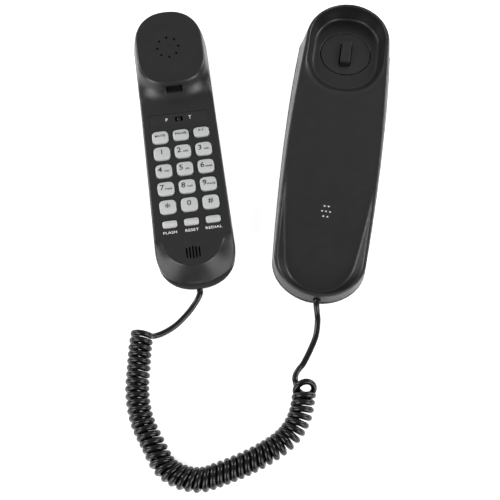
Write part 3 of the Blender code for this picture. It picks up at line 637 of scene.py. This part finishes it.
# Half-width and half-length of a keyhole's slot
KEYHOLE_SLOT = (2.2, 5.5)
SCREWS_Y = (-52.0, LOWER_SCREW_Y)
SCREW_HEAD = 3.3
SCREW_SHANK = 1.6
JACK_Y = -86
JACK_WINDOW = (7.8, 6.8)


def saddle_height(y):
    """Top of the cradle, rising towards the ear end."""
    return SADDLE + SADDLE_SLOPE * y


def bowed(y, widest_y, widest, high, low, power):
    """Half-width that falls off either way from its widest station."""
    y = np.clip(y, low[0], high[0])
    up = np.maximum(y - widest_y, 0) / (high[0] - widest_y)
    down = np.maximum(widest_y - y, 0) / (widest_y - low[0])
    return widest - high[1] * up ** power - low[1] * down ** power


def cradle_outside(x, y, z):
    """Outer walls, leaning in from the foot to the rim."""
    share = np.clip(z / saddle_height(y), 0, 1)
    foot = bowed(y, *FOOT_BOW)
    half = foot + share * (bowed(y, *RIM_BOW) - foot)
    low, low_length = MOUTH_TIP + 1.7 * share, MOUTH_TIP_LENGTH - 1.7 * share
    high, high_length = EAR_TIP - 4 * share, EAR_TIP_LENGTH + 4 * share
    wall = plan(x, y, half, low, high, low_length, high_length, ROUND)
    return edge(wall, z - saddle_height(y), 1.3)


def scoop_floor(y):
    """Floor of the mouth scoop, sinking towards the mouth end."""
    share = np.clip((SCOOP_START - y) / (SCOOP_START - SCOOP_FULL), 0, 1.08)
    return saddle_height(y) + 0.3 - SCOOP_DEPTH * share ** 1.6


def scoop(x, y, z):
    """Hollow for the mouth end of the handset, open towards the pocket."""
    depth = np.maximum(saddle_height(y) - z, 0)
    inset = 0.8 * depth
    drawn_up = 0.35 * depth
    half = bowed(y, *RIM_BOW) - 2.0 - inset
    wall = plan(x, y, half, -197.6 + drawn_up, FAR, 27.5 - drawn_up, 27, 2.2)
    return edge(wall * 0.8, scoop_floor(y) - z, 1.1)


def pocket(x, y, z):
    """Round hollow for the handset's ear cap."""
    levels, halves, lows, highs = zip(*POCKET_WALL)
    half = np.interp(z, levels, halves)
    low = np.interp(z, levels, lows)
    high = np.interp(z, levels, highs)
    wall = plan(x, y, half, low, high, half, half, 2.15)
    return edge(wall, POCKET_FLOOR - z, 1.1)


def ringer_points():
    """Seven sound holes in rows of two, three and two."""
    rows = ((3.7, (-1.45, 1.45)), (0.0, (-2.9, 0.0, 2.9)), (-3.7, (-1.45, 1.45)))
    return [(x, RINGER_Y + dy) for dy, offsets in rows for x in offsets]


def cradle_top(x, y, z):
    """Top shell with its pocket, scoop, disc hole, sound holes and cord bore."""
    body = cradle_outside(x, y, z)
    lip = 0.9 + 5.0 * ramp(-y, 8, 34)
    body = edge(body, -pocket(x, y, z), lip)
    body = cut(body, scoop(x, y, z), 0.9)
    body = cut(body, np.maximum(np.hypot(x, y - DISC_Y) - DISC_HOLE, DISC_HOLE_FLOOR - z))
    for hx, hy in ringer_points():
        hole = np.hypot(x - hx, y - hy) - SOUND_HOLE
        body = cut(body, np.maximum(hole, scoop_floor(hy) - 3 - z), 0.2)
    bore = np.hypot(x - CORD_BORE_X, z - CORD_BORE_Z) - CORD_BORE_RADIUS
    body = cut(body, np.maximum(bore, y - CORD_BORE_START), 0.4)
    return edge(body, PLATE_TOP - z, 0.4)


def cradle_back(x, y, z):
    """Back plate with keyholes, screw seats and the jack's window."""
    wall = plan(x, y, bowed(y, *FOOT_BOW), MOUTH_TIP, EAR_TIP, MOUTH_TIP_LENGTH, EAR_TIP_LENGTH, ROUND)
    body = edge(edge(wall, -z, 0.5), z - 2.2, 0.25)
    for hole_y in KEYHOLES_Y:
        head = np.hypot(x, y - hole_y) - KEYHOLE_HEAD
        slot = rounded_box(x, y - hole_y - KEYHOLE_SLOT[1], *KEYHOLE_SLOT, 1.9)
        body = cut(body, np.minimum(head, slot), 0.3)
    for screw_y in SCREWS_Y:
        from_screw = np.hypot(x, y - screw_y)
        seat = np.maximum(from_screw - SCREW_HEAD, z - 1.1)
        body = cut(body, np.minimum(seat, from_screw - SCREW_SHANK), 0.25)
    return cut(body, rounded_box(x, y - JACK_Y, *JACK_WINDOW, 0.5), 0.3)


def hook_disc(x, y, z):
    """Disc in the pocket, with the tab's slot and a flange under the shell."""
    y = y - DISC_Y
    reach = np.hypot(x, y)
    disc = edge(reach - DISC_RADIUS, z - DISC_TOP, 0.3)
    disc = edge(disc, DISC_BOTTOM - z, 0.4)
    flange = edge(reach - DISC_FLANGE_RADIUS, np.abs(z - 16.6) - 0.7, 0.3)
    slot = rounded_box(x, y + 0.7, *TAB_SLOT, 1.2)
    return cut(np.minimum(disc, flange), slot, 0.45)


def tab(x, y, z):
    """Hook plunger: the tab that shows, the flange that stops it and a stem for the spring."""
    upper = edge(rounded_box(x, y + 1.9, *TAB, 0.8), z - TAB_TOP, 0.5)
    flange = np.maximum(rounded_box(x, y - DISC_Y, *TAB_FLANGE, 1.5), z - TAB_FLANGE_TOP)
    body = np.minimum(edge(upper, TAB_BOTTOM - z, 0.3), edge(flange, TAB_BOTTOM - z, 0.3))
    stem = edge(rounded_box(x, y, 1.7, 1.7, 1.2), z - 15, 0.2)
    return np.minimum(body, edge(stem, STEM_BOTTOM - z, 0.2))


def shells():
    """Both halves of the handset and of the cradle, with the label, disc and tab."""
    made = meshed("handset_front_shell", handset_front, (-28.6, -82, FRONT_SEAM), (28.6, 137, 44.6), 0.7,
                  HANDSET, SHELL)
    carve(made, front_cutters(), HANDSET)
    carve(made, switch_window(17), HANDSET)
    dress(made, "handset", "handset_front_cover")
    label_strip()
    made = meshed("handset_back_shell", handset_back, (-28, -81.5, 0), (28, 136, BACK_SEAM), 0.8,
                  HANDSET, BACK)
    dress(made, "handset", "handset_back_cover")
    made = meshed("cradle_shell", cradle_top, (-38.6, -202, PLATE_TOP), (38.6, 39.5, 35.4), 0.8,
                  CRADLE, CRADLE_SHELL)
    dress(made, "base", "base_top_cover")
    made = meshed("cradle_back", cradle_back, (-38.6, -202, 0), (38.6, 39.5, 2.3), 0.7, CRADLE, BACK)
    dress(made, "base", "base_back_plate")
    made = meshed("cradle_hook_disc", hook_disc, (-21.2, -22.4, DISC_BOTTOM), (21.2, 20.0, 20.5), 0.4,
                  CRADLE, DARK)
    dress(made, "base", "hook_disc")
    made = meshed("cradle_hook_tab", tab, (-5, -12.6, STEM_BOTTOM), (5, 10, 24.7), 0.35, CRADLE, SHELL)
    dress(made, "hook_plunger", "hook_plunger")


def label_strip():
    """Thin strip in its recess, open round the mode switch."""
    builder = bmesh.new()
    prism(builder, outline(*LABEL_SIZE, SQUARE, 120), 0, LABEL_CENTRE_Y, LABEL_FLOOR + 0.05, LABEL_TOP)
    item = from_builder("label_strip", builder, HANDSET, LABEL)
    carve(item, switch_window(20), HANDSET)
    dress(item, "handset", "switch_label_plate")


def dress(item, body, node):
    """The piece rides on a body and stands for a CAD node."""
    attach(item, body)
    if node:
        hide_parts(node)
    return item


# ---------------------------------------------------------------- keys and printing

KEY_BOTTOM = 18.2
KEY_FLANGE = 0.7
KEY_EDGE = 22.7
KEY_ROUND = 1.1
KEY_DOME = 0.45
KEY_TOP = KEY_EDGE + KEY_ROUND + KEY_DOME
KEY_STEPS = 6
# Share of a font's size that its capitals take, and how far print stands proud
CAPITALS = 0.7
PRINT_DEPTH = 0.04


def key_levels(width, length):
    """(inset, height) from the flange up the side, round the edge and over the dome."""
    levels = [(-KEY_FLANGE, KEY_BOTTOM), (-KEY_FLANGE, KEY_BOTTOM + 1.3), (0.0, KEY_BOTTOM + 1.4),
              (0.0, KEY_EDGE)]
    for step in range(1, KEY_STEPS + 1):
        angle = math.pi / 2 * step / KEY_STEPS
        levels.append((KEY_ROUND * (1 - math.cos(angle)), KEY_EDGE + KEY_ROUND * math.sin(angle)))
    reach = min(width, length) / 2
    for step in range(1, KEY_STEPS + 1):
        share = step / (KEY_STEPS + 0.2)
        inset = KEY_ROUND + (reach - KEY_ROUND) * share
        levels.append((inset, KEY_EDGE + KEY_ROUND + KEY_DOME * (1 - (1 - share) ** 2)))
    return levels


def loft(rings):
    """Closed body through rings that have the same number of points, in metres."""
    builder = bmesh.new()
    loops = [[builder.verts.new(point) for point in ring] for ring in rings]
    for lower, upper in zip(loops, loops[1:]):
        for index in range(len(lower)):
            after = (index + 1) % len(lower)
            builder.faces.new((lower[index], lower[after], upper[after], upper[index]))
    builder.faces.new(list(reversed(loops[0])))
    builder.faces.new(loops[-1])
    return builder


def from_builder(name, builder, place, material):
    """Object of what a builder holds, its corners kept sharp."""
    mesh = bpy.data.meshes.new(name)
    builder.to_mesh(mesh)
    builder.free()
    mesh.transform(place)
    item = placed(name, mesh, material)
    mesh.set_sharp_from_angle(angle=SHARP_ANGLE)
    return item


def stacked(levels, cx, cy, width, length, power, sides):
    """Rings of one outline about (cx, cy), one for each (inset, height), in metres."""
    return [[((cx + x) * MM, (cy + y) * MM, height * MM)
             for x, y in outline(width, length, power, sides, inset)] for inset, height in levels]


def key_cap(body):
    """Domed cap of one key; the three small ones have squarer corners."""
    cx, cy, width, length = KEYS[body]
    power = 5.0 if OTHER_KEYS.get(body) == SMALL_KEY else 3.8
    rings = stacked(key_levels(width, length), cx, cy, width, length, power, 56)
    item = from_builder("cap_" + body, loft(rings), HANDSET, KEY)
    return dress(item, body, body)


def lettering(name, lines, place, material, weight):
    """Raised print from (text, height, x, y, z, widening) lines, in millimetres."""
    builder = bmesh.new()
    for text, height, x, y, z, widen in lines:
        font = bpy.data.curves.new(name, "FONT")
        font.body = text
        font.size = height / CAPITALS * MM
        font.align_x = "CENTER"
        font.align_y = "CENTER"
        font.extrude = PRINT_DEPTH * MM
        font.offset = weight * MM
        font.resolution_u = 3
        font.space_character = 1.08
        item = bpy.data.objects.new(name, font)
        bpy.context.scene.collection.objects.link(item)
        bpy.context.view_layer.update()
        graph = bpy.context.evaluated_depsgraph_get()
        mesh = bpy.data.meshes.new_from_object(item.evaluated_get(graph))
        mesh.transform(Matrix.Translation(Vector((x, y, z)) * MM) @ Matrix.Diagonal((widen, 1, 1, 1)))
        builder.from_mesh(mesh)
        bpy.data.objects.remove(item, do_unlink=True)
        bpy.data.meshes.remove(mesh)
    return from_builder(name, builder, place, material)


DIAL_PRINT = {"1": "", "2": "ABC", "3": "DEF", "4": "GHI", "5": "JKL", "6": "MNO", "7": "PQRS",
              "8": "TUV", "9": "WXYZ", "star": "", "0": "", "hash": ""}
SYMBOLS = {"star": "*", "hash": "#"}
FUNCTION_PRINT = {"mute": "MUTE", "pause": "PAUSE", "pt": "P.T"}


def print_keys(caps):
    """Digits and letters on the dial keys, words on the three function keys."""
    for name, letters in DIAL_PRINT.items():
        body = "key_" + name
        cx, cy, _, _ = KEYS[body]
        shift = -2.6 if letters else 0.0
        height, drop = (6.0, -1.4) if name == "star" else (4.0, 0.4)
        lines = [(SYMBOLS.get(name, name), height, cx + shift, cy + drop, 0, 1.1)]
        if letters:
            lines.append((letters, 1.15, cx + 2.0, cy - 0.9, 0, 1.2))
        print_on_key(body, lines, caps[body])
    for name, text in FUNCTION_PRINT.items():
        body = "key_" + name
        cx, cy, _, _ = KEYS[body]
        print_on_key(body, [(text, 1.7, cx, cy + 0.5, 0, 1.15)], caps[body])


def print_on_key(body, lines, cap):
    """Print that follows the dome of a key cap."""
    item = lettering("print_" + body, lines, HANDSET, DARK_INK, weight=0.05)
    tree = BVHTree.FromPolygons([v.co for v in cap.data.vertices], [p.vertices for p in cap.data.polygons])
    for vertex in item.data.vertices:
        hit = tree.ray_cast(Vector((vertex.co.x, vertex.co.y, 0.1)), Vector((0, 0, -1)))[0]
        vertex.co.z += max(hit.z, (KEY_TOP - 2 * PRINT_DEPTH) * MM) + 0.03 * MM
    dress(item, body, None)


def print_face():
    """White words on the handset's face and beside the switch."""
    lines = []
    for name in ("flash", "reset", "redial"):
        cx, cy, _, _ = KEYS["key_" + name]
        lines.append((name.upper(), 1.9, cx - 0.4, cy - 6.2, FACE + 0.01, 1.25))
    lines.append(("P", 2.7, -9.3, LABEL_CENTRE_Y, LABEL_TOP + 0.01, 0.95))
    lines.append(("T", 2.7, 8.3, LABEL_CENTRE_Y + 0.3, LABEL_TOP + 0.01, 0.85))
    item = lettering("print_face", lines, HANDSET, WHITE_INK, weight=0.02)
    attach(item, "handset")


def switch_knob():
    """Ribbed slider of the mode switch."""
    levels = ((0.0, 19.4), (0.0, 21.6), (0.12, 21.8), (0.3, 21.9), (0.35, 21.5), (0.6, 21.5), (0.65, 21.9),
              (0.9, 21.95))
    rings = stacked(levels, 0, LABEL_CENTRE_Y, 2.4, 3.3, 8.0, 40)
    item = from_builder("switch_slider", loft(rings), HANDSET, DARK)
    dress(item, "mode_switch_knob", "mode_switch_knob")


def sounder_dots():
    """Felt that shows as pale dots in the sound holes."""
    builder = bmesh.new()
    thickness = 1.2
    for x, y in ringer_points():
        top = float(scoop_floor(np.array(y))) - 0.5
        place = Matrix.Translation(Vector((x, y, top - thickness / 2)) * MM)
        bmesh.ops.create_cone(builder, cap_ends=True, segments=20, radius1=(SOUND_HOLE + 0.02) * MM,
                              radius2=(SOUND_HOLE - 0.1) * MM, depth=thickness * MM, matrix=place)
    item = from_builder("sounder_felt_dots", builder, CRADLE, FELT)
    dress(item, "base", "ringer_felt")


# ---------------------------------------------------------------- cord

CORD_DIAMETER = 4.1
CORD_SIDES = 12
COIL_RADIUS = 6.0
TURNS = 47
POINTS_PER_TURN = 24
# Where round the coil its first and last turns meet the leads
FIRST_ANGLE = math.radians(-100)
LAST_ANGLE = math.radians(360 * (TURNS - 1) + 270)
# The last loop tips over by this much
OPENED = math.radians(58)
# Lean of the turns along the coil, in degrees at shares of its length
LEAN_SHARES = (0.0, 0.25, 0.38, 0.72, 0.85, 1.0)
LEAN = (-11, -12, -27, -27, 2, 5)
# Points of the cord's route, in millimetres on the table
HANDSET_LEAD = ((-46.7, -111.9, 4.7), (-47.1, -113.3, 4.4), (-48.4, -116.0, 3.3), (-51.0, -120.2, 2.5),
                (-55.5, -126.5, 2.2), (-63.0, -134.6, 2.2), (-70.5, -139.7, 2.4), (-76.8, -142.6, 3.6))
COIL_ROUTE = ((-85.0, -141.9, 8.1), (-85.8, -151.0, 8.1), (-86.1, -166.1, 8.1), (-86.0, -181.9, 8.1),
              (-82.2, -199.1, 8.1), (-74.0, -215.1, 8.1), (-66.2, -227.9, 8.1), (-57.0, -234.1, 8.1),
              (-48.0, -236.5, 8.1), (-40.5, -236.3, 8.1), (-33.0, -234.1, 8.1), (-17.2, -228.1, 8.1),
              (-0.6, -219.8, 8.1), (12.3, -210.5, 8.1), (20.2, -198.3, 8.1), (23.4, -185.0, 8.1),
              (24.6, -176.7, 8.8))
CRADLE_LEAD = ((17.9, -173.9, 9.5), (18.3, -171.0, 8.0), (19.4, -168.2, 5.5), (21.3, -165.2, 3.3),
               (24.3, -161.4, 2.3), (29.4, -151.7, 2.2), (33.4, -142.1, 2.2), (35.0, -132.2, 2.2),
               (34.9, -127.5, 2.9), (34.4, -124.0, 4.6), (34.2, -121.8, 5.9), (34.2, -120.0, 6.4))


def smooth_route(points, spacing):
    """Points about one spacing apart on a smooth curve through the route."""
    route = [Vector(point) for point in points]
    ends = [2 * route[0] - route[1], *route, 2 * route[-1] - route[-2]]
    curve = []
    for index in range(1, len(ends) - 2):
        before, start, stop, after = ends[index - 1:index + 3]
        steps = max(1, round((stop - start).length / spacing))
        for step in range(steps):
            t = step / steps
            bend = (2 * before - 5 * start + 4 * stop - after) * t * t
            twist = (3 * start - before - 3 * stop + after) * t ** 3
            curve.append(0.5 * (2 * start + (stop - before) * t + bend + twist))
    curve.append(route[-1])
    return curve


def along_route(curve, distances):
    """Points and directions at distances along a curve, and the curve's length."""
    points = np.array(curve)
    steps = np.linalg.norm(np.diff(points, axis=0), axis=1)
    run = np.concatenate([[0], np.cumsum(steps)])
    behind, places, ahead = (np.stack([np.interp(distances + shift, run, points[:, n]) for n in range(3)],
                                      axis=1) for shift in (-2.0, 0.0, 2.0))
    heading = ahead - behind
    return places, heading / np.linalg.norm(heading, axis=1)[:, None], run[-1]


def wound_coil():
    """Centreline of the turns, leaning as the coil lies."""
    curve = smooth_route(COIL_ROUTE, 1.5)
    total = along_route(curve, np.array([0.0]))[2]
    share = np.linspace(0, 1, POINTS_PER_TURN * TURNS)
    angle = FIRST_ANGLE + (LAST_ANGLE - FIRST_ANGLE) * share
    places, heading, _ = along_route(curve, share * total)
    right = np.cross(heading, (0.0, 0.0, 1.0))
    opened = OPENED * ramp(angle, LAST_ANGLE - 3.2 * math.pi, LAST_ANGLE - 0.8 * math.pi)
    up = np.stack([0 * opened, np.sin(opened), np.cos(opened)], axis=1)
    lean = np.interp(share, LEAN_SHARES, np.radians(LEAN))
    across = COIL_RADIUS * np.sin(angle)
    points = places + across[:, None] * right + (COIL_RADIUS * np.cos(angle))[:, None] * up
    return points + (np.tan(lean) * across)[:, None] * heading


def cord_path():
    """Whole centreline: handset lead, coil and cradle lead."""
    coil = [Vector(p) for p in wound_coil()]
    lead_in = smooth_route([*HANDSET_LEAD, *coil[:2]], 1.6)[:-1]
    lead_out = smooth_route([*coil[-2:], *CRADLE_LEAD], 1.6)[1:]
    return [*lead_in, *coil[1:-1], *lead_out]


def tube(name, path, radius, sides, material):
    """Mesh tube with a ring at every point of the path; radius may be one for each point."""
    points = np.array(path)
    radii = np.broadcast_to(radius, len(points))
    heading = np.gradient(points, axis=0)
    heading /= np.linalg.norm(heading, axis=1)[:, None]
    normal = np.cross(heading[0], (0.0, 0.0, 1.0))
    rings = []
    for point, direction, reach in zip(points, heading, radii):
        normal = normal - direction * normal.dot(direction)
        normal /= np.linalg.norm(normal)
        other = np.cross(direction, normal)
        ring = []
        for step in range(sides):
            angle = 2 * math.pi * step / sides
            offset = reach * (math.cos(angle) * normal + math.sin(angle) * other)
            ring.append((point + offset) * MM)
        rings.append(ring)
    return from_builder(name, loft(rings), Matrix.Identity(4), material)


# Starts of the grommets, inside each half and in its own frame, in metres
CRADLE_EXIT = Vector((CORD_BORE_X, CRADLE_GROMMET_START, CORD_BORE_Z)) * MM
HANDSET_EXIT = Vector((BORE_X, GROMMET_START, BORE_Z)) * MM


def sleeve(name, node, inside, path, body):
    """Short grommet from inside a shell onto the start of the cord."""
    start, onward = np.array(inside) / MM, np.array(path[:3])
    into = [start + (onward[0] - start) * share for share in np.linspace(0, 1, 8)[:-1]]
    points = [*into, *onward]
    radii = np.linspace(2.4, CORD_DIAMETER / 2 + 0.04, len(points))
    item = tube(name, points, radii, 2 * CORD_SIDES, JACKET)
    return dress(item, body, node)


def cord():
    """The cord with a grommet at each end."""
    path = cord_path()
    grommets = [sleeve("cradle_grommet", "base_cord_relief", CRADLE @ CRADLE_EXIT, path[::-1], "base"),
                sleeve("handset_grommet", "handset_cord_relief", HANDSET @ HANDSET_EXIT, path, "handset")]
    item = tube("cord", path, CORD_DIAMETER / 2, CORD_SIDES, JACKET)
    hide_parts("cord_handset_lead", "cord_coil", "cord_base_lead")
    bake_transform(item)


# ---------------------------------------------------------------- stage

def floor():
    """Light table: a pale sheet that glows softly."""
    mesh = bpy.data.meshes.new("floor")
    half = 3.0
    corners = [(-half, -half, 0), (half, -half, 0), (half, half, 0), (-half, half, 0)]
    mesh.from_pydata(corners, [], [(0, 1, 2, 3)])
    paper = (0.93, 0.93, 0.93)
    material, tree, shader = principled("floor_paper", paper, roughness=0.9)
    mottle(tree, shader, paper, 0.2, amount=0.005)
    shader.inputs["Emission Color"].default_value = (1, 1, 1, 1)
    shader.inputs["Emission Strength"].default_value = 0.62
    item = placed("floor", mesh, material)
    item.location.z = -0.3 * MM


def softbox(name, location, size, power):
    """Area light that faces the telephone, its size in metres and its power in watts."""
    light = bpy.data.lights.new(name, "AREA")
    light.shape = "RECTANGLE"
    light.size, light.size_y = size
    light.energy = power
    item = bpy.data.objects.new(name, light)
    bpy.context.scene.collection.objects.link(item)
    item.location = location
    item.rotation_euler = (-Vector(location)).to_track_quat("-Z", "Y").to_euler()


def surroundings():
    """Dim room, darker in front of the telephone than behind it."""
    world = bpy.data.worlds.new("room")
    bpy.context.scene.world = world
    world.use_nodes = True
    tree = world.node_tree
    place = tree.nodes.new("ShaderNodeTexCoord")
    parts = tree.nodes.new("ShaderNodeSeparateXYZ")
    depth = tree.nodes.new("ShaderNodeMapRange")
    depth.inputs["From Min"].default_value = -1.0
    colours = tree.nodes.new("ShaderNodeValToRGB")
    colours.color_ramp.elements[0].color = (0.10, 0.10, 0.10, 1)
    colours.color_ramp.elements[1].color = (0.55, 0.55, 0.56, 1)
    tree.links.new(place.outputs["Generated"], parts.inputs["Vector"])
    tree.links.new(parts.outputs["Y"], depth.inputs["Value"])
    tree.links.new(depth.outputs["Result"], colours.inputs["Fac"])
    tree.links.new(colours.outputs["Color"], tree.nodes["Background"].inputs["Color"])
    bpy.context.scene.view_settings.view_transform = "Standard"


def camera():
    """The photograph's viewing angle: from above, a little towards the mouth ends."""
    data = bpy.data.cameras.new("camera")
    data.lens = 50.4
    data.sensor_width = 36
    item = bpy.data.objects.new("camera", data)
    bpy.context.scene.collection.objects.link(item)
    item.location = (-0.011844, -0.267637, 0.470311)
    item.rotation_euler = (math.radians(22), 0, 0)
    bpy.context.scene.camera = item


camera()
floor()
surroundings()
for side, hand in (("left", -1), ("right", 1)):
    softbox("softbox_" + side, (hand * 0.72, -0.74, 0.48), (0.6, 0.8), 8)
for side, hand in (("left", -1), ("right", 1)):
    softbox("side_" + side, (hand * 1.0, 0.42, 0.55), (0.25, 0.9), 6)
finish_cad_nodes()
cord()
shells()
print_keys({key_body: key_cap(key_body) for key_body in KEYS})
print_face()
switch_knob()
sounder_dots()
